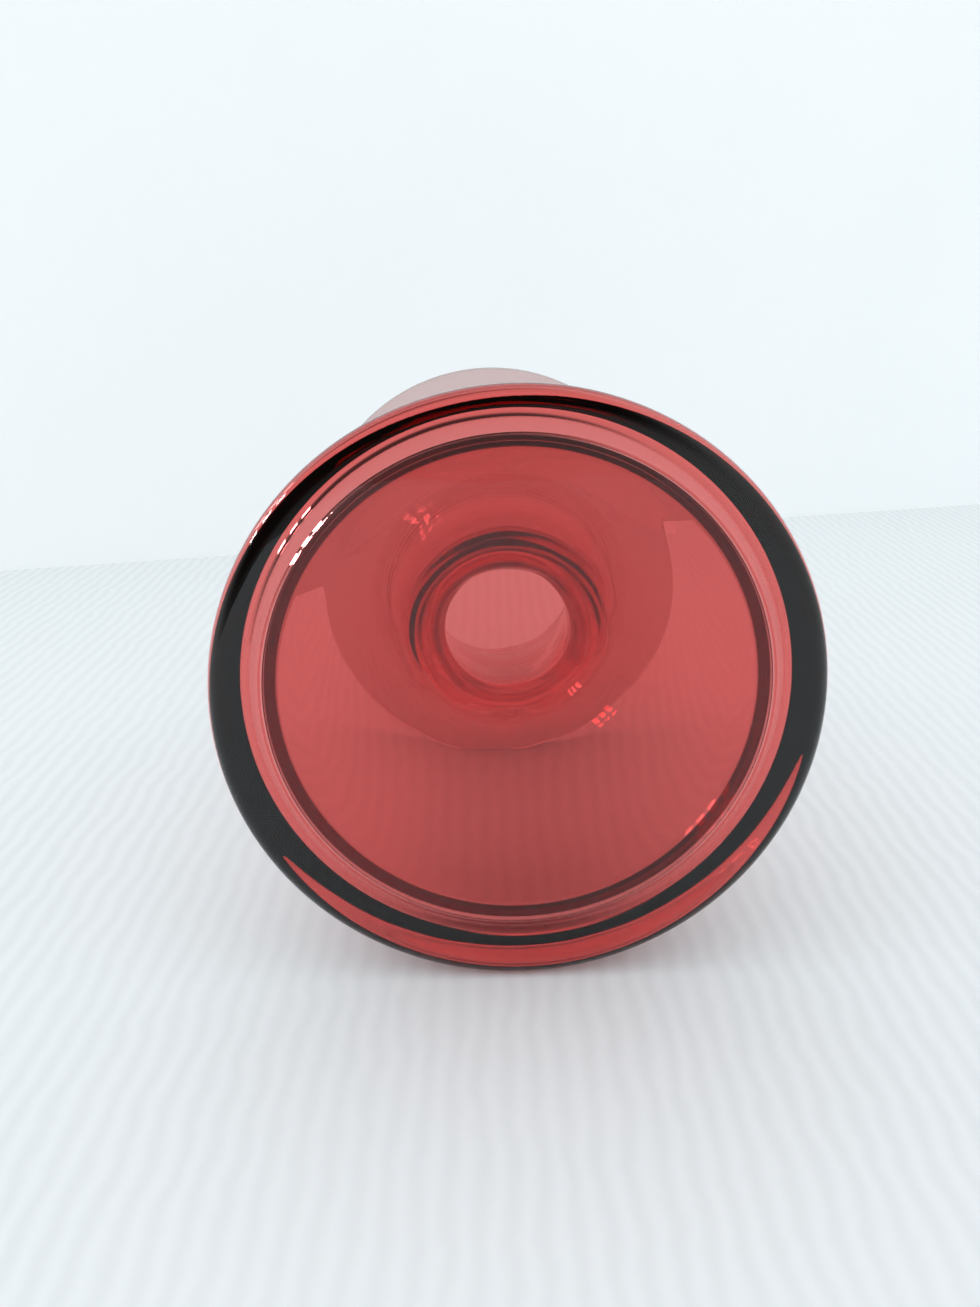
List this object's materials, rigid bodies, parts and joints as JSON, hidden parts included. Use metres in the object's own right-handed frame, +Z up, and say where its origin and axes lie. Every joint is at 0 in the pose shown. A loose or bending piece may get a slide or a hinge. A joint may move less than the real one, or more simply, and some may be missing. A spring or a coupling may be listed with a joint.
{
  "type": "glass vase",
  "caption": "Blown ruby glass vase with a thick flat foot, a squat round bowl, a narrow neck and a wide flared, gently waved mouth.",
  "frame": {"origin": "centre of the flat face under the foot that the vase stands on", "axes": "+Z up along the turning axis from the foot to the mouth; +X and +Y lie in the plane of the table"},
  "size_m": [0.13, 0.13, 0.1657],
  "materials": {
    "ruby_glass": "fire-polished and transparent, coloured ruby all through"
  },
  "bodies": {
    "root": {"foot": "ruby_glass", "bowl": "ruby_glass", "neck": "ruby_glass", "flared_mouth": "ruby_glass", "lip": "ruby_glass"}
  },
  "joints": []
}
